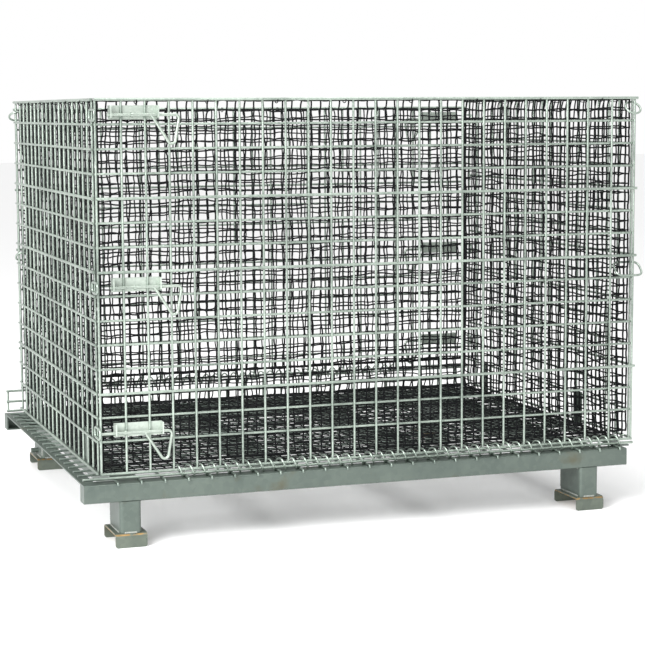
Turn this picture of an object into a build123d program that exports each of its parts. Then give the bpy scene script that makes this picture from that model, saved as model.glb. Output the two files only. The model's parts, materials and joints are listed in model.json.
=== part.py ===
from build123d import *
import math
import os

os.makedirs("parts", exist_ok=True)

# Collapsible wire mesh container.  All sizes in millimetres, +Z up, floor at Z = 0.
# The front panel faces -Y.  Two L-shaped halves meet at two corners: the front panel
# carries the right panel on rings, and the rear panel carries the left panel.
# Every panel has its own frame: u runs along the panel, w points into the container.

# ---------------------------------------------------------------- mesh wires
mesh_pitch = 50.8
wire_radius = 2.5
thick_radius = 3.0
rows = 14
thick_rows = (0, 4, 7, 12)
bottom_gap = 68.0

# ---------------------------------------------------------------- fold panels (front and rear)
regular_columns = 21
latch_end_gap = 54.0
hinge_end_gaps = (60.0, 57.0)
thick_row_overshoot = 5.0
panel_depth = 965.2

# ---------------------------------------------------------------- side panels
side_offset = 1.0
side_columns = 17
side_latch_margin = 25.4
hinge_gap = 14.0
side_row_clearance = 13.0
side_row_start = 2.0
hook_width = 42.0
hook_thickness = 3.0
hook_overlap = 7.0
hook_floor_gap = 1.0
hook_positions = (253.0, 812.0)

# ---------------------------------------------------------------- base
foot_height = 97.0
rail_height = 39.0
rail_depth = 40.0
rail_wall = 3.0
rail_corner = 3.5
rail_front = 24.0
rail_overhang = 43.0
rail_setback = 22.0
deck_setback = 5.0
strip_width = 28.0
strip_thickness = 3.0
cross_width = 46.0
cross_wall = 3.0
foot_inset = 98.0
foot_inset_right = 95.0
post_width = 46.0
post_depth = 105.0
post_wall = 4.0
post_corner = 8.0
saddle_width = 68.0
saddle_depth = 115.0
saddle_height = 30.0
saddle_wall = 4.0
saddle_lead = 6.0
saddle_round = 10.0
saddle_lip_round = 6.0
peg_radius = 6.0
peg_length = 17.0
peg_height = 43.0
wire_hook = 5.5
wire_bend = 3.5
wire_stand_off = 1.0

# ---------------------------------------------------------------- coil hinges
coil_radius = 12.0
coil_wire = 2.0
coil_pitch = mesh_pitch / 2
front_coil_free_columns = 3
rear_coil_free_columns = 4
coil_end_margin = 18.0
coil_floor_gap = 0.5
pin_lift = 2.5
anchor_drop = 6.5
skirt_rise = 50.0

# ---------------------------------------------------------------- latches
front_latch_rows = (0, 7, 13)
rear_latch_rows = (0, 7, 12)
bolt_drop = 31.5
bolt_radius = 3.2
bolt_hole_radius = 4.0
bolt_reach = 10.0
plate_start = 28.0
plate_end = 131.0
plate_thickness = 3.0
plate_top = 12.0
plate_bottom = 41.0
tab_reach = 18.0
tab_bottom = 37.5
bolt_tip = 22.5
bolt_end = 176.0
handle_foot = 163.0
handle_depth = 73.0
handle_joint = 116.0
handle_bend = 8.0
handle_radius = 3.1
handle_straight = 14.0
handle_overlap = 4.0
collar_radius = 5.0
collar_length = 5.0
collar_position = 72.0
low_bolt_shift = 25.0
eye_reach = 22.0
eye_half_height = 11.0
eye_corner = 8.0

# ---------------------------------------------------------------- corner rings and links
ring_radius = 18.0
ring_wire = 2.5
ring_drop = 22.0
ring_shift = -1.0
link_radius = 20.0
link_length = 70.0
link_drop = 31.6
link_shift = -9.5
rear_link_length = 46.0
rear_link_shift = -12.5
rear_link_radius = 18.0
front_ring_tilt = 45.0
rear_ring_tilt = 55.0
link_corner = 14.0
link_row = 7

# ---------------------------------------------------------------- netting
net_thickness = 2.0
net_gap = 0.5
net_top_margin = 3.0
net_bottom_margin = 4.0
net_end_margin = 6.0
net_hinge_margin = 52.0
side_net_hinge_margin = 45.0
side_net_latch_margin = 16.0
floor_net_margin = 20.0
skirt_net_margin = 18.0
skirt_net_overlap = 22.0

# ---------------------------------------------------------------- places worked out from the sizes
regular_length = regular_columns * mesh_pitch
panel_width = latch_end_gap + regular_length + sum(hinge_end_gaps)
link_outreach = link_length / 2 + link_shift + ring_wire
middle_x = (rail_overhang - link_outreach) / 2
left_x = middle_x - panel_width / 2
right_x = middle_x + panel_width / 2
front_y = -panel_depth / 2
rear_y = panel_depth / 2

rail_top = foot_height + rail_height
deck_low_z = rail_top + wire_radius
deck_high_z = deck_low_z + 2 * wire_radius
deck_top = deck_high_z + wire_radius
front_coil_z = rail_top + coil_floor_gap + coil_radius + coil_wire
front_pin_z = front_coil_z + pin_lift
rear_pin_z = front_pin_z + skirt_rise
rear_coil_z = rear_pin_z - pin_lift
front_top_z = front_pin_z + bottom_gap + rows * mesh_pitch
rear_top_z = rear_pin_z + rows * mesh_pitch

deck_left = left_x - rail_overhang
deck_right = right_x + deck_setback
rail_right = right_x - rail_setback
rail_inner = rail_depth - rail_front
foot_x = (deck_left + foot_inset, rail_right - foot_inset_right)

front_frame = Plane(origin=(left_x, front_y, 0), x_dir=(1, 0, 0), z_dir=(0, 0, 1))
rear_frame = Plane(origin=(right_x, rear_y, 0), x_dir=(-1, 0, 0), z_dir=(0, 0, 1))
right_frame = Plane(origin=(right_x + side_offset, front_y, 0), x_dir=(0, 1, 0), z_dir=(0, 0, 1))
left_frame = Plane(origin=(left_x - side_offset, rear_y, 0), x_dir=(0, -1, 0), z_dir=(0, 0, 1))

column_u = [0.0] + [latch_end_gap + k * mesh_pitch for k in range(regular_columns + 1)]
column_u += [column_u[-1] + hinge_end_gaps[0], panel_width]
side_latch_u = panel_depth - side_latch_margin
side_u = [hinge_gap] + [side_latch_u - k * mesh_pitch for k in range(side_columns + 1)]
thin_w = 2 * wire_radius
thick_w = -(wire_radius + thick_radius)
net_w = 3 * wire_radius + net_gap


def row_heights(top_z, chosen):
    """Heights of the chosen rows, counted down from the rim."""
    return [top_z - j * mesh_pitch for j in chosen]


def thin_rows(last):
    """Row numbers that carry the ordinary wire."""
    return [j for j in range(last + 1) if j not in thick_rows]


def shared_gap(row):
    """Middle height between a thick rear row and the left panel's row under it."""
    over = rear_top_z - row * mesh_pitch - thick_radius
    under = front_top_z - (row + 1) * mesh_pitch + wire_radius
    return (over + under) / 2


def local_plane(frame, origin, x_dir, z_dir):
    """A sketch plane given in a panel's own coordinates (u, w, z)."""
    start = frame.from_local_coords(Vector(*origin))
    along = frame.from_local_coords(Vector(*x_dir)) - frame.origin
    normal = frame.from_local_coords(Vector(*z_dir)) - frame.origin
    return Plane(origin=start, x_dir=along, z_dir=normal)


def across(frame, u, w=0.0, z=0.0):
    """Plane square to the panel's length: sketch x is w and sketch y is z."""
    return local_plane(frame, (u, w, z), (0, 1, 0), (1, 0, 0))


def facing(frame, w, u=0.0, z=0.0):
    """Plane parallel to the panel: sketch x is u and sketch y is z."""
    return local_plane(frame, (u, w, z), (1, 0, 0), (0, -1, 0))


def level(frame, z):
    """Horizontal plane: sketch x is u and sketch y is w."""
    return local_plane(frame, (0, 0, z), (1, 0, 0), (0, 0, 1))


def save(piece, label):
    """Label a finished piece and write its STEP file."""
    piece.part.label = label
    export_step(piece.part, f"parts/{label}.step")


# ================================================================ panels
def wires_up(label, frame, places, low_z, high_z):
    """Upright wires of a panel, all in one group."""
    with BuildPart() as uprights:
        with BuildSketch(level(frame, low_z)):
            with Locations(*[(u, 0) for u in places]):
                Circle(wire_radius)
        extrude(amount=high_z - low_z)
    save(uprights, label)


def wires_along(label, frame, start_u, end_u, w, heights, radius):
    """Level wires of a panel, all in one group."""
    with BuildPart() as level_wires:
        with BuildSketch(across(frame, start_u)):
            with Locations(*[(w, z) for z in heights]):
                Circle(radius)
        extrude(amount=end_u - start_u)
    save(level_wires, label)


def net_sheet(label, plane, length, height):
    """Plain thin sheet that stands for the netting, centred on its plane."""
    with BuildPart() as net:
        with BuildSketch(plane):
            Rectangle(length, height)
        extrude(amount=net_thickness)
    save(net, label)


def fold_panel(name, frame, top_z, pin_z, last_row):
    """Uprights, rows, thick rows and net of the front or rear panel."""
    wires_up(f"{name}_uprights", frame, column_u, pin_z + thick_radius, top_z + thick_radius)
    thin = row_heights(top_z, thin_rows(last_row))
    wires_along(f"{name}_rows", frame, -wire_radius, panel_width + wire_radius, thin_w, thin, wire_radius)
    with BuildPart() as stiffeners:
        with BuildSketch(across(frame, -wire_radius)):
            with Locations(*[(thick_w, z) for z in row_heights(top_z, thick_rows)]):
                Circle(thick_radius)
        extrude(amount=panel_width + wire_radius + thick_row_overshoot)
        with BuildSketch(across(frame, -wire_radius)):
            with Locations((0, pin_z)):
                Circle(thick_radius)
        extrude(amount=panel_width + 2 * wire_radius)
    save(stiffeners, f"{name}_stiffeners")
    low = pin_z + coil_radius + coil_wire + net_bottom_margin
    high = top_z - net_top_margin
    near, far = net_end_margin, panel_width - net_hinge_margin
    middle = facing(frame, net_w + net_thickness, (near + far) / 2, (low + high) / 2)
    net_sheet(f"{name}_net", middle, far - near, high - low)


def side_panel(name, frame, eye_heights, row_w):
    """Uprights, rows on the side that row_w says, thick rows, hook plates, keeper eyes and net."""
    top_z, low_z = front_top_z, front_pin_z
    wires_up(f"{name}_uprights", frame, side_u, low_z - thick_radius, top_z + thick_radius)
    start_u = hinge_gap + side_row_start
    end_u = panel_depth - side_row_clearance
    thin = row_heights(top_z, thin_rows(rows))
    wires_along(f"{name}_rows", frame, start_u, end_u, row_w, thin, wire_radius)
    thick = row_heights(top_z, thick_rows) + [low_z]
    wires_along(f"{name}_stiffeners", frame, start_u, end_u, thick_w, thick, thick_radius)

    inner_face = max(row_w, 0) + wire_radius
    hook_low = deck_top + hook_floor_gap
    hook_high = low_z + bottom_gap + hook_overlap
    with BuildPart() as hooks:
        with BuildSketch(facing(frame, inner_face + hook_thickness)):
            with Locations(*[(u, (hook_low + hook_high) / 2) for u in hook_positions]):
                RectangleRounded(hook_width, hook_high - hook_low, hook_thickness)
        extrude(amount=hook_thickness)
    save(hooks, f"{name}_hook_plates")

    eye_near = side_latch_u - wire_radius
    eye_far = panel_depth + eye_reach
    with BuildPart() as eyes:
        for z in eye_heights:
            with BuildLine(facing(frame, -2 * wire_radius)) as loop:
                FilletPolyline(
                    (eye_near, z - eye_half_height),
                    (eye_far, z - eye_half_height),
                    (eye_far, z + eye_half_height),
                    (eye_near, z + eye_half_height),
                    radius=eye_corner,
                    close=True,
                )
            with BuildSketch(Plane(origin=loop.line @ 0, z_dir=loop.line % 0)):
                Circle(wire_radius)
            sweep(path=loop.line)
    save(eyes, f"{name}_keeper_eyes")

    low = deck_top + net_bottom_margin
    high = top_z - net_top_margin
    near, far = side_net_hinge_margin, panel_depth - side_net_latch_margin
    net_face = inner_face + hook_thickness + net_gap
    middle = facing(frame, net_face + net_thickness, (near + far) / 2, (low + high) / 2)
    net_sheet(f"{name}_net", middle, far - near, high - low)


# ================================================================ latches
def latch_brackets(name, frame, heights):
    """Folded plates behind the uprights whose end tabs carry the bolts."""
    inner_w = wire_radius + plate_thickness
    tab_mid = (inner_w - tab_reach) / 2
    with BuildPart() as brackets:
        for row_z in heights:
            with BuildSketch(facing(frame, inner_w)):
                with Locations(((plate_start + plate_end) / 2, row_z - (plate_top + plate_bottom) / 2)):
                    Rectangle(plate_end - plate_start, plate_bottom - plate_top)
            extrude(amount=plate_thickness)
            for tab_u in (plate_start, plate_end - plate_thickness):
                with BuildSketch(across(frame, tab_u, 0, row_z)):
                    with Locations((tab_mid, -(plate_top + tab_bottom) / 2)):
                        RectangleRounded(inner_w + tab_reach, tab_bottom - plate_top, plate_thickness / 2)
                    with Locations((-bolt_reach, -bolt_drop)):
                        Circle(bolt_hole_radius, mode=Mode.SUBTRACT)
                extrude(amount=plate_thickness)
    save(brackets, f"{name}_latch_brackets")


def latch_bolt(label, frame, row_z, shift):
    """Sliding bolt: a straight shank with a stop collar, bent into a V handle at its end."""
    axis_z = row_z - bolt_drop
    handle_start = bolt_end - shift - handle_straight
    tip = bolt_tip - shift
    with BuildPart() as bolt:
        with BuildSketch(across(frame, tip, -bolt_reach, axis_z)):
            Circle(bolt_radius)
        extrude(amount=handle_start - tip + handle_overlap)
        with BuildSketch(across(frame, collar_position - shift, -bolt_reach, axis_z)):
            Circle(collar_radius)
        extrude(amount=collar_length)
        with BuildLine(facing(frame, -bolt_reach)) as handle:
            FilletPolyline(
                (handle_start, axis_z),
                (bolt_end - shift, axis_z),
                (handle_foot - shift, axis_z - handle_depth),
                (handle_joint - shift, axis_z),
                radius=handle_bend,
            )
        path = Wire(handle.edges())
        with BuildSketch(Plane(origin=path @ 0, z_dir=path % 0)):
            Circle(handle_radius)
        sweep(path=path)
    save(bolt, label)


# ================================================================ corner rings
def hinge_rings(name, frame, ring_z, link_z, length, shift, loop_radius, tilt):
    """A round ring near the rim and a long link lower down, hung round both edge uprights."""
    middle_w = hinge_gap / 2
    tilt_x = (1, 0, 0)
    tilt_z = (0, -math.cos(math.radians(tilt)), math.sin(math.radians(tilt)))
    half_length = length / 2 - ring_wire
    with BuildPart() as rings:
        ring_plane = local_plane(frame, (panel_width + ring_shift, middle_w, ring_z), tilt_x, tilt_z)
        cut_plane = Plane(origin=ring_plane.origin, x_dir=ring_plane.x_dir, z_dir=-ring_plane.y_dir)
        with BuildSketch(cut_plane):
            with Locations((ring_radius, 0)):
                Circle(ring_wire)
        revolve(axis=Axis(ring_plane.origin, ring_plane.z_dir))
        with BuildLine(local_plane(frame, (panel_width + shift, middle_w, link_z), tilt_x, tilt_z)) as loop:
            FilletPolyline(
                (-half_length, -loop_radius),
                (half_length, -loop_radius),
                (half_length, loop_radius),
                (-half_length, loop_radius),
                radius=link_corner,
                close=True,
            )
        with BuildSketch(Plane(origin=loop.line @ 0, z_dir=loop.line % 0)):
            Circle(ring_wire)
        sweep(path=loop.line)
    save(rings, f"{name}_hinge_rings")


# ================================================================ coil hinges
def coil_hinge(label, frame, turns_u, z):
    """Turns of the spiral that wraps a panel's bottom wire and the fixed rod under it."""
    with BuildPart() as coil:
        for u in turns_u:
            turn = across(frame, u, 0, z)
            with BuildSketch(facing(frame, 0, u, z)):
                with Locations((0, coil_radius)):
                    Circle(coil_wire)
            revolve(axis=Axis(turn.origin, turn.z_dir))
    save(coil, label)


# ================================================================ base
def base_rail(label, outer_y, inward):
    """C-channel rail with closed ends, open towards the middle of the base."""
    end_plane = Plane(origin=(deck_left, outer_y, foot_height), x_dir=(0, inward, 0), z_dir=(inward, 0, 0))
    length = rail_right - deck_left
    with BuildPart() as rail:
        with BuildSketch(end_plane) as profile:
            with Locations((rail_depth / 2, rail_height / 2)):
                Rectangle(rail_depth, rail_height)
            fillet(profile.vertices().group_by(Axis.X)[0], rail_corner)
        extrude(amount=inward * length)
        with BuildSketch(end_plane.offset(inward * rail_wall)):
            with Locations((rail_depth / 2 + rail_wall, rail_height / 2)):
                Rectangle(rail_depth, rail_height - 2 * rail_wall)
        extrude(amount=inward * (length - 2 * rail_wall), mode=Mode.SUBTRACT)
    save(rail, label)


def foot(name, x, near_y, inward):
    """Box post under the rail and cross member, on a saddle that straddles a rim below."""
    post_y = near_y + inward * post_depth / 2
    with BuildPart() as post:
        with BuildSketch(Plane.XY.offset(saddle_height)):
            with Locations((x, post_y)):
                RectangleRounded(post_width, post_depth, post_corner)
                Rectangle(post_width - 2 * post_wall, post_depth - 2 * post_wall, mode=Mode.SUBTRACT)
        extrude(amount=foot_height - saddle_height)
    save(post, f"foot_post_{name}")

    saddle_y = near_y - inward * saddle_lead + inward * saddle_depth / 2
    side_plane = Plane(origin=(x - saddle_width / 2, saddle_y, 0), x_dir=(0, 1, 0), z_dir=(1, 0, 0))
    with BuildPart() as saddle:
        with BuildSketch(side_plane) as profile:
            with Locations((0, saddle_height / 2)):
                Rectangle(saddle_depth, saddle_height)
            fillet(profile.vertices().group_by(Axis.Y)[-1], saddle_round)
            with Locations((0, (saddle_height - saddle_wall) / 2)):
                Rectangle(saddle_depth - 2 * saddle_wall, saddle_height - saddle_wall, mode=Mode.SUBTRACT)
        extrude(amount=saddle_width)
        lip_corners = saddle.edges().filter_by(Axis.Y).filter_by(lambda edge: edge.center().Z < saddle_wall)
        fillet([edge for edge in lip_corners if edge.length < 2 * saddle_wall], saddle_lip_round)
    save(saddle, f"foot_saddle_{name}")


base_rail("front_rail", front_y - rail_front, 1)
base_rail("rear_rail", rear_y + rail_front, -1)

strip_length = panel_depth - 2 * rail_inner
for side, strip_x in (("left", deck_left + strip_width / 2), ("right", deck_right - strip_width / 2)):
    with BuildPart() as strip:
        with BuildSketch(Plane.XY.offset(rail_top - strip_thickness)):
            with Locations((strip_x, 0)):
                Rectangle(strip_width, strip_length)
        extrude(amount=strip_thickness)
    save(strip, f"{side}_deck_strip")

cross_span = foot_x[1] - foot_x[0]
cross_x = [foot_x[0] + k * cross_span / 3 for k in range(4)]
with BuildPart() as cross_members:
    with BuildSketch(Plane.XZ.offset(strip_length / 2)):
        with Locations(*[(x, foot_height + rail_height / 2) for x in cross_x]):
            Rectangle(cross_width, rail_height)
        with Locations(*[(x, foot_height + rail_height / 2 - cross_wall) for x in cross_x]):
            Rectangle(cross_width - 2 * cross_wall, rail_height, mode=Mode.SUBTRACT)
    extrude(amount=-strip_length)
save(cross_members, "deck_cross_members")

deck_row_count = int(panel_depth // mesh_pitch)
with BuildPart() as deck_wires:
    with BuildSketch(Plane.YZ.offset(deck_left + wire_radius)):
        with Locations(*[(front_y + k * mesh_pitch, deck_high_z) for k in range(1, deck_row_count)]):
            Circle(wire_radius)
    extrude(amount=deck_right - deck_left - wire_radius)
save(deck_wires, "deck_cross_wires")

edge_rod_z = deck_low_z + wire_radius + thick_radius
rear_anchor_z = rear_coil_z - anchor_drop + thick_radius / 2
with BuildPart() as edge_rods:
    with BuildSketch(Plane.YZ.offset(deck_left + wire_radius)):
        with Locations((front_y, edge_rod_z), (rear_y, edge_rod_z)):
            Circle(thick_radius)
    extrude(amount=deck_right - deck_left - wire_radius)
save(edge_rods, "deck_edge_rods")

deck_wire_x = [left_x + latch_end_gap + (k - 0.5) * mesh_pitch for k in range(regular_columns + 3)]
hook_y = rail_front + wire_radius + wire_stand_off
with BuildPart() as long_wires:
    for x in deck_wire_x:
        with BuildLine(Plane.YZ.offset(x)) as bent:
            FilletPolyline(
                (front_y - hook_y, deck_low_z - wire_hook),
                (front_y - hook_y, deck_low_z),
                (rear_y + hook_y, deck_low_z),
                (rear_y + hook_y, deck_low_z - wire_hook),
                radius=wire_bend,
            )
        with BuildSketch(Plane(origin=bent.line @ 0, z_dir=bent.line % 0)):
            Circle(wire_radius)
        sweep(path=bent.line)
save(long_wires, "deck_long_wires")

for end_name, edge_y, inward in (("front", front_y - rail_front, 1), ("rear", rear_y + rail_front, -1)):
    for side, x in zip(("left", "right"), foot_x):
        foot(f"{end_name}_{side}", x, edge_y, inward)

with BuildPart() as peg:
    peg_y = rear_y + rail_front - post_depth / 2
    with BuildSketch(Plane.YZ.offset(foot_x[0] - post_width / 2)):
        with Locations((peg_y, peg_height)):
            Circle(peg_radius)
    extrude(amount=-peg_length)
save(peg, "foot_peg")

floor_net_low = front_y + floor_net_margin
floor_net_high = rear_y - floor_net_margin
floor_plane = Plane(origin=(middle_x, (floor_net_low + floor_net_high) / 2, deck_top + net_gap))
net_sheet("floor_net", floor_plane, panel_width - 2 * floor_net_margin, floor_net_high - floor_net_low)

# ================================================================ rear skirt: raised fence under the rear panel
skirt_low = deck_low_z + wire_radius
skirt_mid_z = (rear_anchor_z + skirt_low) / 2
skirt_post_x = [deck_left + 3 * wire_radius]
skirt_post_x += [right_x - latch_end_gap - (k - 0.5) * mesh_pitch for k in range(regular_columns + 3)]
with BuildPart() as skirt_uprights:
    with BuildSketch(Plane.XY.offset(skirt_low)):
        with Locations(*[(x, rear_y + thick_radius + wire_radius) for x in skirt_post_x]):
            Circle(wire_radius)
    extrude(amount=rear_anchor_z - skirt_low)
save(skirt_uprights, "skirt_uprights")
with BuildPart() as skirt_rods:
    with BuildSketch(Plane.YZ.offset(deck_left + wire_radius)):
        with Locations((rear_y, rear_anchor_z), (rear_y, skirt_mid_z)):
            Circle(thick_radius)
    extrude(amount=deck_right - deck_left - wire_radius)
save(skirt_rods, "skirt_rods")

skirt_net_low = deck_top + net_bottom_margin
skirt_net_high = rear_pin_z + skirt_net_overlap
skirt_net_w = coil_radius + coil_wire + net_gap
skirt_net_middle = (skirt_net_low + skirt_net_high) / 2
skirt_plane = facing(rear_frame, skirt_net_w + net_thickness, panel_width / 2, skirt_net_middle)
net_sheet("skirt_net", skirt_plane, panel_width - 2 * skirt_net_margin, skirt_net_high - skirt_net_low)

# ================================================================ coils
def turn_places(free_columns):
    """Turns in the middle of each half gap, and one more beyond the second last upright."""
    first_u = column_u[free_columns] + coil_pitch / 2
    count = int((column_u[-2] - coil_end_margin - first_u) // coil_pitch) + 1
    places = [first_u + k * coil_pitch for k in range(count)]
    return places + [(column_u[-2] + column_u[-1]) / 2]


coil_hinge("front_coil", front_frame, turn_places(front_coil_free_columns), front_coil_z)
coil_hinge("rear_coil", rear_frame, turn_places(rear_coil_free_columns), rear_coil_z)

# ================================================================ halves
fold_panel("front", front_frame, front_top_z, front_pin_z, rows)
fold_panel("rear", rear_frame, rear_top_z, rear_pin_z, rows - 1)
front_latch_z = row_heights(front_top_z, front_latch_rows)
rear_latch_z = row_heights(rear_top_z, rear_latch_rows)
side_panel("left", left_frame, [z - bolt_drop for z in front_latch_z], -thin_w)
side_panel("right", right_frame, [z - bolt_drop for z in rear_latch_z], thin_w)
latch_brackets("front", front_frame, front_latch_z)
latch_brackets("rear", rear_frame, rear_latch_z)
front_ring_z = front_top_z - ring_drop
front_link_z = front_top_z - link_row * mesh_pitch - link_drop
hinge_rings("front", front_frame, front_ring_z, front_link_z, link_length, link_shift, link_radius, front_ring_tilt)
rear_ring_z, rear_link_z = shared_gap(0), shared_gap(link_row)
hinge_rings(
    "rear", rear_frame, rear_ring_z, rear_link_z, rear_link_length, rear_link_shift, rear_link_radius, rear_ring_tilt
)
for level_name, z, shift in zip(("top", "mid", "low"), front_latch_z, (0.0, 0.0, low_bolt_shift)):
    latch_bolt(f"front_bolt_{level_name}", front_frame, z, shift)
for level_name, z in zip(("top", "mid", "low"), rear_latch_z):
    latch_bolt(f"rear_bolt_{level_name}", rear_frame, z, 0.0)

print("front hinge axis", front_y, front_pin_z, "rear hinge axis", rear_y, rear_pin_z)
print("front latch corner", left_x, "rear latch corner", right_x)
print("right swing axis", right_x + side_offset, front_y + hinge_gap)
print("left swing axis", left_x - side_offset, rear_y - hinge_gap)
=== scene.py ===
import json
import math

import bpy
import numpy as np
from mathutils import Matrix, Vector


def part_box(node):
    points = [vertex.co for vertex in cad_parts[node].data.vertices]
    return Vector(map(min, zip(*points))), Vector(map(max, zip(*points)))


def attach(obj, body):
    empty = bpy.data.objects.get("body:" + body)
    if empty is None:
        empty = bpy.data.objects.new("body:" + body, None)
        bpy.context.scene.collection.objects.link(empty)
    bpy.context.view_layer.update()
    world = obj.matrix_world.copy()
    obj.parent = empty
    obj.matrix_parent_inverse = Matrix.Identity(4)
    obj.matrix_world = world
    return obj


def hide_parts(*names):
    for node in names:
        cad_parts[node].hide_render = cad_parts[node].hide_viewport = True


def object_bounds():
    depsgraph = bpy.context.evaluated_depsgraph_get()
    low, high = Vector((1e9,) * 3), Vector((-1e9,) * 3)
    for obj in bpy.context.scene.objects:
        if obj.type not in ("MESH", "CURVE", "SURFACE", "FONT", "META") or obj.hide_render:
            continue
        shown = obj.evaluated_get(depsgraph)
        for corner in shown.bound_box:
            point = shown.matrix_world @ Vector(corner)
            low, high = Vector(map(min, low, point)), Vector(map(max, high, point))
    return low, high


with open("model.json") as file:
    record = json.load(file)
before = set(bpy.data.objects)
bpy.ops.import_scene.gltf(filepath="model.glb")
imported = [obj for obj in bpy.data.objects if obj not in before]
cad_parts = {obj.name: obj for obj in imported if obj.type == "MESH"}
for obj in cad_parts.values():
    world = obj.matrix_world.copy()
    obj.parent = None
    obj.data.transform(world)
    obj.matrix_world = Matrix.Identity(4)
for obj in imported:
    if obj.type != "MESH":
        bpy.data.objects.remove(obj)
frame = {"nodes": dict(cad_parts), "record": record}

CAD_BOX = [list(corner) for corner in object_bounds()]
MM = 0.001

# ---------------------------------------------------------------- wires and netting
MESH_PITCH = 50.8 * MM
NET_CELL = 21.0 * MM
NET_CORD = 1.8 * MM
FLOOR_NET_CORD = 1.25 * MM
NET_BORDER = 2.2 * MM
NET_KNOT = 3.0 * MM
NET_SIDES = 5
NET_WANDER = 2.0 * MM
NET_RIPPLE = 1.3 * MM
NET_BULGE = 6.0 * MM
NET_CORNER_REACH = 44.0 * MM
SIDE_NET_CORNER_REACH = 26.0 * MM
NET_SEED = 11

# ---------------------------------------------------------------- coils, beads and ties
COIL_WIRE = 2.0 * MM
COIL_PITCH = MESH_PITCH / 2
COIL_STEPS = 20
SPIRAL_END_PLACES = 3
SPIRAL_END_STEPS = (20.5 * MM, 20.5 * MM, 27.0 * MM, 26.0 * MM)
BEAD_RADIUS = 2.2 * MM
BEAD_STEP = 4.5 * MM
TIE_SPACING = 3
TIE_CORD = 1.0 * MM

# ---------------------------------------------------------------- camera, on the frame's axes
CAMERA_PLACE = (-1.4072, -4.2497, 0.9053)
CAMERA_YAW = 0.328834
CAMERA_DOWN = 0.113129
CAMERA_ROLL = -0.005659
CAMERA_LENS = 103.65
SENSOR = 36.0


# ================================================================ materials
def new_material(name):
    """An empty node material with its shader."""
    material = bpy.data.materials.new(name)
    material.use_nodes = True
    return material, material.node_tree, material.node_tree.nodes["Principled BSDF"]


def noise(tree, scale, detail=3.0, stretch=None):
    """Noise in the object's own coordinates, stretched along chosen axes."""
    place = tree.nodes.new("ShaderNodeTexCoord")
    texture = tree.nodes.new("ShaderNodeTexNoise")
    texture.inputs["Scale"].default_value = scale
    texture.inputs["Detail"].default_value = detail
    source = place.outputs["Object"]
    if stretch:
        mapping = tree.nodes.new("ShaderNodeMapping")
        mapping.inputs["Scale"].default_value = stretch
        tree.links.new(source, mapping.inputs["Vector"])
        source = mapping.outputs["Vector"]
    tree.links.new(source, texture.inputs["Vector"])
    return texture.outputs["Fac"]


def ramp(tree, value, stops):
    """Colour ramp over a value; stops are (position, colour)."""
    node = tree.nodes.new("ShaderNodeValToRGB")
    elements = node.color_ramp.elements
    while len(elements) < len(stops):
        elements.new(0.5)
    for element, (position, colour) in zip(elements, stops):
        element.position = position
        element.color = (*colour, 1.0)
    tree.links.new(value, node.inputs["Fac"])
    return node.outputs["Color"]


def mixed(tree, factor, first, second):
    """Mix of two colour outputs by a factor output."""
    node = tree.nodes.new("ShaderNodeMix")
    node.data_type = "RGBA"
    tree.links.new(factor, node.inputs["Factor"])
    tree.links.new(first, node.inputs["A"])
    tree.links.new(second, node.inputs["B"])
    return node.outputs["Result"]


def ranged(tree, value, low, high):
    """A 0..1 value spread over low..high."""
    node = tree.nodes.new("ShaderNodeMapRange")
    node.inputs["To Min"].default_value = low
    node.inputs["To Max"].default_value = high
    tree.links.new(value, node.inputs["Value"])
    return node.outputs["Result"]


def bumped(tree, shader, value, distance, strength=0.6):
    """Surface relief from a value."""
    node = tree.nodes.new("ShaderNodeBump")
    node.inputs["Distance"].default_value = distance
    node.inputs["Strength"].default_value = strength
    tree.links.new(value, node.inputs["Height"])
    tree.links.new(node.outputs["Normal"], shader.inputs["Normal"])


def galvanised(name, pale, dark, metallic, rough, spangle, stain=None):
    """Zinc-coated steel: cloudy patches, fine spangle, uneven gloss and an optional stain."""
    material, tree, shader = new_material(name)
    clouds = noise(tree, 9.0, 4.0)
    crystals = tree.nodes.new("ShaderNodeTexVoronoi")
    crystals.inputs["Scale"].default_value = spangle
    place = tree.nodes.new("ShaderNodeTexCoord")
    tree.links.new(place.outputs["Object"], crystals.inputs["Vector"])
    grey = tree.nodes.new("ShaderNodeRGBToBW")
    tree.links.new(crystals.outputs["Color"], grey.inputs["Color"])
    patch = ramp(tree, clouds, [(0.30, dark), (0.68, pale)])
    middle = tuple((p + d) / 2 for p, d in zip(pale, dark))
    flake = ramp(tree, grey.outputs["Val"], [(0.2, middle), (0.8, pale)])
    fine = noise(tree, 45.0, 2.0)
    colour = mixed(tree, fine, patch, flake)
    if stain:
        where = ramp(tree, noise(tree, 14.0, 5.0), [(0.60, (0, 0, 0)), (0.74, (0.6, 0.6, 0.6))])
        tint = ramp(tree, fine, [(0.0, stain), (1.0, stain)])
        colour = mixed(tree, where, colour, tint)
    tree.links.new(colour, shader.inputs["Base Color"])
    shader.inputs["Metallic"].default_value = metallic
    tree.links.new(ranged(tree, clouds, rough - 0.10, rough + 0.14), shader.inputs["Roughness"])
    bumped(tree, shader, noise(tree, 260.0, 3.0), 0.25 * MM)
    return material


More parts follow.
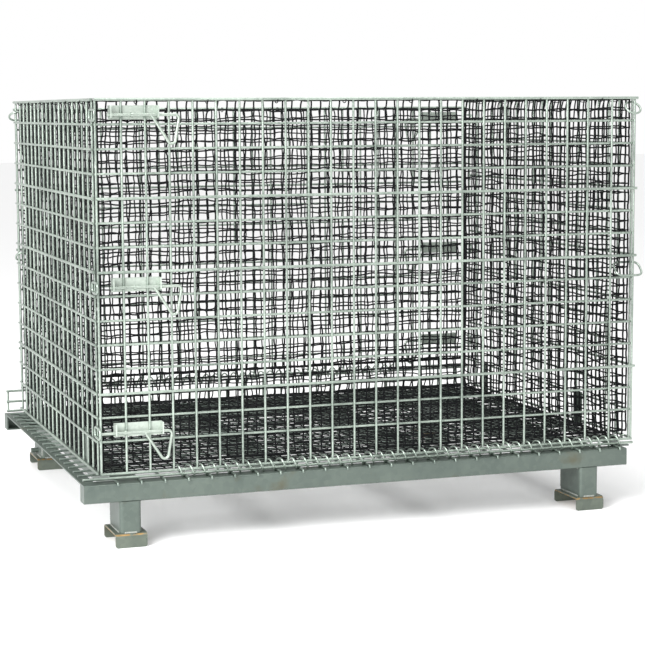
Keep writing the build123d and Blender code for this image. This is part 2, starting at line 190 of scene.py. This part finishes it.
def tinted_edge(material, height, reach, tint):
    """Adds a worn, brownish line at a height on the given material."""
    tree = material.node_tree
    shader = tree.nodes["Principled BSDF"]
    base = shader.inputs["Base Color"].links[0].from_socket
    place = tree.nodes.new("ShaderNodeTexCoord")
    split = tree.nodes.new("ShaderNodeSeparateXYZ")
    tree.links.new(place.outputs["Object"], split.inputs["Vector"])
    band = tree.nodes.new("ShaderNodeMath")
    band.operation = "COMPARE"
    band.inputs[1].default_value = height
    band.inputs[2].default_value = reach
    tree.links.new(split.outputs["Z"], band.inputs[0])
    broken = ramp(tree, noise(tree, 120.0, 4.0), [(0.38, (0, 0, 0)), (0.5, (0.9, 0.9, 0.9))])
    where = tree.nodes.new("ShaderNodeMath")
    where.operation = "MULTIPLY"
    tree.links.new(band.outputs["Value"], where.inputs[0])
    tree.links.new(broken, where.inputs[1])
    brown = ramp(tree, noise(tree, 60.0), [(0.3, tint), (0.7, tuple(0.6 * part for part in tint))])
    tree.links.new(mixed(tree, where.outputs["Value"], base, brown), shader.inputs["Base Color"])
    return material


def net_cord_material():
    """Black twisted polyethylene cord, a little dusty."""
    material, tree, shader = new_material("net_cord")
    dust = noise(tree, 30.0, 4.0)
    colour = ramp(tree, dust, [(0.35, (0.003, 0.0035, 0.004)), (0.8, (0.010, 0.011, 0.012))])
    tree.links.new(colour, shader.inputs["Base Color"])
    tree.links.new(ranged(tree, dust, 0.55, 0.8), shader.inputs["Roughness"])
    shader.inputs["Specular IOR Level"].default_value = 0.12
    bumped(tree, shader, noise(tree, 900.0, 2.0), 0.3 * MM, 0.8)
    return material


WIRE_MATERIAL = galvanised("galvanised_wire", (0.44, 0.51, 0.45), (0.12, 0.15, 0.13), 0.8, 0.32, 240.0)
SHEET_MATERIAL = galvanised(
    "galvanised_sheet", (0.135, 0.165, 0.143), (0.080, 0.103, 0.092), 0.6, 0.42, 90.0, (0.10, 0.085, 0.045)
)
SADDLE_MATERIAL = tinted_edge(
    galvanised(
        "saddle_sheet", (0.16, 0.185, 0.15), (0.07, 0.088, 0.075), 0.6, 0.42, 110.0, (0.10, 0.085, 0.045)
    ),
    27.0 * MM, 1.6 * MM, (0.36, 0.22, 0.08),
)
DECK_WIRE_MATERIAL = galvanised("deck_wire", (0.27, 0.32, 0.285), (0.09, 0.115, 0.10), 0.75, 0.36, 240.0)
# Latch brackets: a lighter copy of the galvanised sheet finish, painted light that lifts the shade on the
# brackets.
BRACKET_PAINTED_LIGHT_MATERIAL = galvanised("bracket_sheet_painted_light", (0.50, 0.56, 0.50), (0.27, 0.32, 0.28), 0.45, 0.36, 200.0)
FITTING_MATERIAL = galvanised("zinc_fittings", (0.46, 0.52, 0.46), (0.20, 0.24, 0.21), 0.75, 0.28, 300.0)
BEAD_MATERIAL = galvanised("weld_beads", (0.34, 0.36, 0.33), (0.16, 0.175, 0.16), 0.35, 0.55, 700.0)
CORD_MATERIAL = net_cord_material()
BY_SLOT = {
    "galvanised_wire": WIRE_MATERIAL,
    "galvanised_sheet": SHEET_MATERIAL,
    "zinc_fittings": FITTING_MATERIAL,
    "netting": CORD_MATERIAL,
}
SLOT_OF = {part["node"]: part["material_slot"] for part in frame["record"]["subparts"]}
for node_name, node in frame["nodes"].items():
    for material_slot in node.material_slots:
        material_slot.material = BY_SLOT[SLOT_OF[node_name]]
    # latch brackets take the lighter copy of the sheet finish, painted light over their shade
    if node_name.endswith("_latch_brackets"):
        node.material_slots[0].material = BRACKET_PAINTED_LIGHT_MATERIAL
    if node_name in ("deck_long_wires", "deck_cross_wires"):
        node.material_slots[0].material = DECK_WIRE_MATERIAL
    if node_name.startswith("foot_saddle_"):
        node.material_slots[0].material = SADDLE_MATERIAL


# ================================================================ mesh builders
def tube(points, radii, side, sides=NET_SIDES, closed=False):
    """Vertices and faces of a tube along points; side is a direction never along the tube."""
    points = np.asarray(points, float)
    count = len(points)
    if closed:
        ahead = np.roll(points, -1, axis=0) - np.roll(points, 1, axis=0)
    else:
        ahead = np.gradient(points, axis=0)
    ahead /= np.linalg.norm(ahead, axis=1)[:, None]
    first = np.cross(ahead, np.asarray(side, float))
    first /= np.linalg.norm(first, axis=1)[:, None]
    second = np.cross(ahead, first)
    turn = np.arange(sides) * 2 * math.pi / sides
    radii = np.broadcast_to(np.asarray(radii, float), (count,))
    ring = first[:, None] * np.cos(turn)[None, :, None] + second[:, None] * np.sin(turn)[None, :, None]
    vertices = (points[:, None] + ring * radii[:, None, None]).reshape(-1, 3)
    faces = []
    for k in range(count if closed else count - 1):
        a, b = k * sides, (k + 1) % count * sides
        for s in range(sides):
            t = (s + 1) % sides
            faces.append((a + s, a + t, b + t, b + s))
    if not closed:
        last = (count - 1) * sides
        faces.append(tuple(range(sides - 1, -1, -1)))
        faces.append(tuple(range(last, last + sides)))
    return vertices, faces


def knot(centre, radius):
    """A small eight-sided lump."""
    ends = [(1, 0, 0), (-1, 0, 0), (0, 1, 0), (0, -1, 0), (0, 0, 1), (0, 0, -1)]
    vertices = np.asarray(centre) + radius * np.asarray(ends, float)
    faces = []
    for x in (0, 1):
        for y in (2, 3):
            for z in (4, 5):
                corner = (x, y, z)
                faces.append(corner if (x + y + z) % 2 == 0 else corner[::-1])
    return vertices, faces


def joined(pieces):
    """One vertex list and one face list out of several."""
    vertices, faces, start = [], [], 0
    for piece_vertices, piece_faces in pieces:
        vertices.append(piece_vertices)
        faces += [tuple(start + i for i in face) for face in piece_faces]
        start += len(piece_vertices)
    return np.concatenate(vertices), faces


def build(name, pieces, material, body):
    """A smooth-shaded mesh object made of the given pieces, riding on a body."""
    vertices, faces = joined(pieces)
    mesh = bpy.data.meshes.new(name)
    mesh.from_pydata(vertices.tolist(), [], faces)
    mesh.validate()
    mesh.shade_smooth()
    mesh.materials.append(material)
    obj = bpy.data.objects.new(name, mesh)
    bpy.context.scene.collection.objects.link(obj)
    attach(obj, body)
    return obj


# ================================================================ netting
def smooth_field(random, rows, columns, reach):
    """Smooth random values over a grid, from -1 to 1, that change over about reach cells."""
    coarse_rows, coarse_columns = max(3, rows // reach + 2), max(3, columns // reach + 2)
    coarse = random.uniform(-1, 1, (coarse_rows, coarse_columns))
    y = np.linspace(0, coarse_rows - 1.001, rows)
    x = np.linspace(0, coarse_columns - 1.001, columns)
    low_y, low_x = y.astype(int), x.astype(int)
    part_y = (1 - np.cos(math.pi * (y - low_y)))[:, None] / 2
    part_x = (1 - np.cos(math.pi * (x - low_x)))[None, :] / 2
    top = coarse[low_y][:, low_x] * (1 - part_x) + coarse[low_y][:, low_x + 1] * part_x
    bottom = coarse[low_y + 1][:, low_x] * (1 - part_x) + coarse[low_y + 1][:, low_x + 1] * part_x
    return top * (1 - part_y) + bottom * part_y


def along_strand(knots, random, normal, across):
    """A strand's points: its knots, and between them points that ripple a little."""
    points = []
    for start, end in zip(knots[:-1], knots[1:]):
        points.append(start)
        swing, out = random.uniform(-1, 1), random.uniform(0, 1)
        for share in (1 / 3, 2 / 3):
            shift = NET_RIPPLE * (swing * across + 0.6 * out * normal)
            points.append(start * (1 - share) + end * share + shift)
    points.append(knots[-1])
    return points


def netting(name, node, body, origin, length_dir, height_dir, inward, length, height, bulge, cord):
    """Knotted cord netting over a panel: wandering strands both ways, knots and a thicker border."""
    random = np.random.RandomState(NET_SEED + len(name) * 7 + ord(name[0]))
    length_dir, height_dir, inward = (np.asarray(v, float) for v in (length_dir, height_dir, inward))
    columns = int(round(length / NET_CELL)) + 1
    rows = int(round(height / NET_CELL)) + 1
    along = np.linspace(0, length, columns)[None, :] * np.ones((rows, 1))
    up = np.linspace(0, height, rows)[:, None] * np.ones((1, columns))
    inside = np.zeros((rows, columns))
    inside[1:-1, 1:-1] = 1.0
    edge_slide = np.ones((rows, columns))
    edge_slide[:, 0] = edge_slide[:, -1] = 0.0
    along = along + edge_slide * NET_WANDER * (
        random.uniform(-0.8, 0.8, (rows, columns)) + 2.2 * smooth_field(random, rows, columns, 6)
    )
    up = up + inside * NET_WANDER * (
        random.uniform(-0.8, 0.8, (rows, columns)) + 2.2 * smooth_field(random, rows, columns, 5)
    )
    depth = inside * bulge * (0.5 + 0.5 * smooth_field(random, rows, columns, 5))
    grid = (
        np.asarray(origin, float)
        + along[..., None] * length_dir
        + up[..., None] * height_dir
        + depth[..., None] * inward
    )
    pieces = []
    for row in range(rows):
        radius = NET_BORDER if row in (0, rows - 1) else cord
        points = along_strand(list(grid[row]), random, inward, height_dir)
        pieces.append(tube(points, radius, inward))
    for column in range(columns):
        radius = NET_BORDER if column in (0, columns - 1) else cord
        points = along_strand(list(grid[:, column]), random, inward, length_dir)
        pieces.append(tube(points, radius, inward))
    for row in range(rows):
        for column in range(columns):
            size = NET_KNOT / NET_CORD * cord * random.uniform(0.85, 1.2)
            pieces.append(knot(grid[row, column], size))
    obj = build(name, pieces, CORD_MATERIAL, body)
    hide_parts(node)
    return obj


def wall_net(side, axis, inward_sign, corner_sign, corner_reach):
    """Netting of one upright panel, on its CAD sheet and on past the rings at its hinge corner."""
    low, high = (list(corner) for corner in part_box(f"{side}_net"))
    if corner_sign > 0:
        high[axis] += corner_reach
    else:
        low[axis] -= corner_reach
    across = 1 - axis
    origin = [0.0, 0.0, low[2]]
    origin[axis] = low[axis]
    face = low[across] if inward_sign > 0 else high[across]
    origin[across] = face + inward_sign * NET_BORDER
    length_dir = [0.0, 0.0, 0.0]
    length_dir[axis] = 1.0
    inward = [0.0, 0.0, 0.0]
    inward[across] = inward_sign
    length, height = high[axis] - low[axis], high[2] - low[2]
    name, node = f"{side}_netting", f"{side}_net"
    netting(
        name, node, f"{side}_panel", origin, length_dir, (0, 0, 1), inward,
        length, height, NET_BULGE, NET_CORD,
    )


wall_net("front", 0, 1, 1, NET_CORNER_REACH)
wall_net("rear", 0, -1, -1, NET_CORNER_REACH)
wall_net("left", 1, 1, 1, SIDE_NET_CORNER_REACH)
wall_net("right", 1, -1, -1, SIDE_NET_CORNER_REACH)
skirt_low, skirt_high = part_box("skirt_net")
netting(
    "skirt_netting", "skirt_net", "base",
    (skirt_low[0], skirt_high[1] - NET_BORDER, skirt_low[2]),
    (1, 0, 0), (0, 0, 1), (0, -1, 0),
    skirt_high[0] - skirt_low[0], skirt_high[2] - skirt_low[2], 4 * MM, NET_CORD,
)
floor_low, floor_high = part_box("floor_net")
netting(
    "floor_netting", "floor_net", "base",
    (floor_low[0], floor_low[1], floor_low[2] + NET_BORDER),
    (1, 0, 0), (0, 1, 0), (0, 0, 1),
    floor_high[0] - floor_low[0], floor_high[1] - floor_low[1], 2 * MM, FLOOR_NET_CORD,
)


# ================================================================ ties that hang the netting on the rims
def ties(side, axis, inward_sign):
    """Small cord loops round a panel's rim and the netting's border."""
    net_low, net_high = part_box(f"{side}_net")
    rim_low, rim_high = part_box(f"{side}_stiffeners")
    across = 1 - axis
    outer = rim_low[across] if inward_sign > 0 else rim_high[across]
    inner = net_low[across] if inward_sign > 0 else net_high[across]
    inner += inward_sign * 2 * NET_BORDER
    middle, reach = (outer + inner) / 2, abs(inner - outer) / 2 + TIE_CORD * 0.6
    top = rim_high[2] - TIE_CORD
    bottom = net_high[2] - 2 * NET_BORDER - TIE_CORD
    uprights_low, uprights_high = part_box(f"{side}_uprights")
    count = int((uprights_high[axis] - uprights_low[axis]) / (TIE_SPACING * MESH_PITCH))
    first = (uprights_low[axis] + uprights_high[axis] - (count - 1) * TIE_SPACING * MESH_PITCH) / 2
    pieces = []
    for k in range(count):
        points = []
        for step in range(16):
            angle = step * math.pi / 8
            point = [0.0, 0.0, (top + bottom) / 2 + (top - bottom) / 2 * math.sin(angle)]
            point[axis] = first + k * TIE_SPACING * MESH_PITCH
            point[across] = middle + reach * math.cos(angle)
            points.append(point)
        side_dir = [0.0, 0.0, 0.0]
        side_dir[axis] = 1.0
        pieces.append(tube(points, TIE_CORD, side_dir, closed=True))
    build(f"{side}_net_ties", pieces, CORD_MATERIAL, f"{side}_panel")


for side, axis, inward_sign in (("front", 0, 1), ("rear", 0, -1), ("left", 1, 1), ("right", 1, -1)):
    ties(side, axis, inward_sign)


# ================================================================ spiral hinges
def spiral(side, towards):
    """One continuous spiral in place of a coil's separate turns; towards is +1 or -1 along X."""
    low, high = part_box(f"{side}_coil")
    centre_y, centre_z = (low[1] + high[1]) / 2, (low[2] + high[2]) / 2
    radius = (high[2] - low[2]) / 2 - COIL_WIRE
    length = high[0] - low[0] - 2 * COIL_WIRE
    whole = round(length / COIL_PITCH) - SPIRAL_END_PLACES
    tops = [k * COIL_PITCH for k in range(whole + 1)]
    for step in SPIRAL_END_STEPS:
        tops.append(tops[-1] + step)
    turns = np.linspace(0, len(tops) - 1, (len(tops) - 1) * COIL_STEPS + 1)
    along = np.interp(turns, range(len(tops)), tops) - COIL_PITCH / 4
    start = low[0] + COIL_WIRE if towards > 0 else high[0] - COIL_WIRE
    angle = math.pi / 2 + 2 * math.pi * turns
    points = np.stack([
        start + towards * along,
        centre_y + towards * radius * np.cos(angle),
        centre_z + radius * np.sin(angle),
    ], axis=1)
    pieces = [tube(points, COIL_WIRE, (1, 0, 0), 8)]
    obj = build(f"{side}_spiral", pieces, WIRE_MATERIAL, "base")
    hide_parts(f"{side}_coil")


spiral("front", 1)
spiral("rear", -1)


# ================================================================ weld beads
def bead(start, end, seed, radius=BEAD_RADIUS):
    """A run of weld bead: a lumpy, slightly wandering tube."""
    random = np.random.RandomState(seed)
    start, end = np.asarray(start, float), np.asarray(end, float)
    length = np.linalg.norm(end - start)
    count = max(8, int(length / BEAD_STEP * 5))
    share = np.linspace(0, 1, count + 1)
    points = start + (end - start) * share[:, None] + random.uniform(-1, 1, (count + 1, 3)) * radius * 0.12
    lumps = 0.86 + 0.2 * np.abs(np.sin(math.pi * share * length / BEAD_STEP))
    taper = np.clip(np.minimum(share, 1 - share) * 12 + 0.25, 0, 1)
    side = (0, 0, 1) if abs(end[2] - start[2]) < length / 2 else (0, 1, 0)
    return tube(points, radius * lumps * taper, side, 8)


def foot_beads(name):
    """Beads where a post meets its saddle and the rail, and up its inner edge."""
    low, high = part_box(f"foot_post_{name}")
    near, far = (low[1], high[1]) if low[1] < 0 else (high[1], low[1])
    inward = 1 if far > near else -1
    corner = 9 * MM
    seat = low[2] + BEAD_RADIUS * 0.4
    under = high[2] - BEAD_RADIUS * 0.6
    rail_low, rail_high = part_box("front_rail" if near < 0 else "rear_rail")
    rail_reach = near + inward * (rail_high[1] - rail_low[1] - 3 * MM)
    pieces = []
    for seed, x in enumerate((low[0], high[0])):
        pieces.append(bead((x, near + inward * corner, seat), (x, far - inward * corner, seat), seed))
        pieces.append(bead((x, near + inward * corner, under), (x, rail_reach, under), seed + 5))
    for seed, y in enumerate((near, far)):
        pieces.append(bead((low[0] + corner, y, seat), (high[0] - corner, y, seat), seed + 9))
    slant = corner * (1 - math.sqrt(0.5))
    for seed, x in enumerate((low[0] + slant, high[0] - slant)):
        y = far - inward * slant
        pieces.append(bead((x, y, low[2] + 4 * MM), (x, y, high[2] - 4 * MM), seed + 13, BEAD_RADIUS * 0.9))
    build(f"foot_beads_{name}", pieces, BEAD_MATERIAL, "base")


for foot_name in ("front_left", "front_right", "rear_left", "rear_right"):
    foot_beads(foot_name)


# ================================================================ floor, light and camera
def floor():
    """Plain pale floor."""
    mesh = bpy.data.meshes.new("studio_floor")
    size = 30.0
    corners = [(-size, -size, 0), (size, -size, 0), (size, size, 0), (-size, size, 0)]
    mesh.from_pydata(corners, [], [(0, 1, 2, 3)])
    material, tree, shader = new_material("studio_floor")
    shade = ramp(tree, noise(tree, 0.4), [(0.0, (0.90, 0.90, 0.90)), (1.0, (0.92, 0.92, 0.92))])
    tree.links.new(shade, shader.inputs["Base Color"])
    shader.inputs["Roughness"].default_value = 0.9
    mesh.materials.append(material)
    obj = bpy.data.objects.new("studio_floor", mesh)
    obj.location.z = CAD_BOX[0][2] - 0.2 * MM
    bpy.context.scene.collection.objects.link(obj)


def soft_light(name, place, target, size, power):
    """A large square lamp aimed at a point."""
    lamp = bpy.data.lights.new(name, "AREA")
    lamp.size = size
    lamp.energy = power
    obj = bpy.data.objects.new(name, lamp)
    obj.location = place
    obj.rotation_euler = (Vector(target) - Vector(place)).to_track_quat("-Z", "Y").to_euler()
    bpy.context.scene.collection.objects.link(obj)


def studio():
    """White surroundings with a large key lamp at the front left."""
    world = bpy.data.worlds.new("studio")
    world.use_nodes = True
    background = world.node_tree.nodes["Background"]
    background.inputs["Color"].default_value = (1.0, 1.0, 1.0, 1.0)
    background.inputs["Strength"].default_value = 1.0
    bpy.context.scene.world = world
    bpy.context.scene.view_settings.view_transform = "Standard"
    soft_light("key", (-3.0, -2.6, 2.4), (-0.5, 0, 0.5), 2.2, 260)
    soft_light("top", (0.2, -0.8, 3.6), (0, 0, 0.4), 2.4, 60)


def camera():
    """The camera, from its place, yaw, downward tilt and roll."""
    forward = Vector((
        math.sin(CAMERA_YAW) * math.cos(CAMERA_DOWN),
        math.cos(CAMERA_YAW) * math.cos(CAMERA_DOWN),
        -math.sin(CAMERA_DOWN),
    ))
    right = Vector((math.cos(CAMERA_YAW), -math.sin(CAMERA_YAW), 0.0))
    up = right.cross(forward)
    turned_right = math.cos(CAMERA_ROLL) * right + math.sin(CAMERA_ROLL) * up
    turned_up = -math.sin(CAMERA_ROLL) * right + math.cos(CAMERA_ROLL) * up
    rotation = Matrix((turned_right, turned_up, -forward)).transposed()
    data = bpy.data.cameras.new("camera")
    data.lens = CAMERA_LENS
    data.sensor_width = SENSOR
    data.clip_end = 100.0
    obj = bpy.data.objects.new("camera", data)
    obj.matrix_world = Matrix.Translation(CAMERA_PLACE) @ rotation.to_4x4()
    bpy.context.scene.collection.objects.link(obj)
    bpy.context.scene.camera = obj


floor()
studio()
camera()
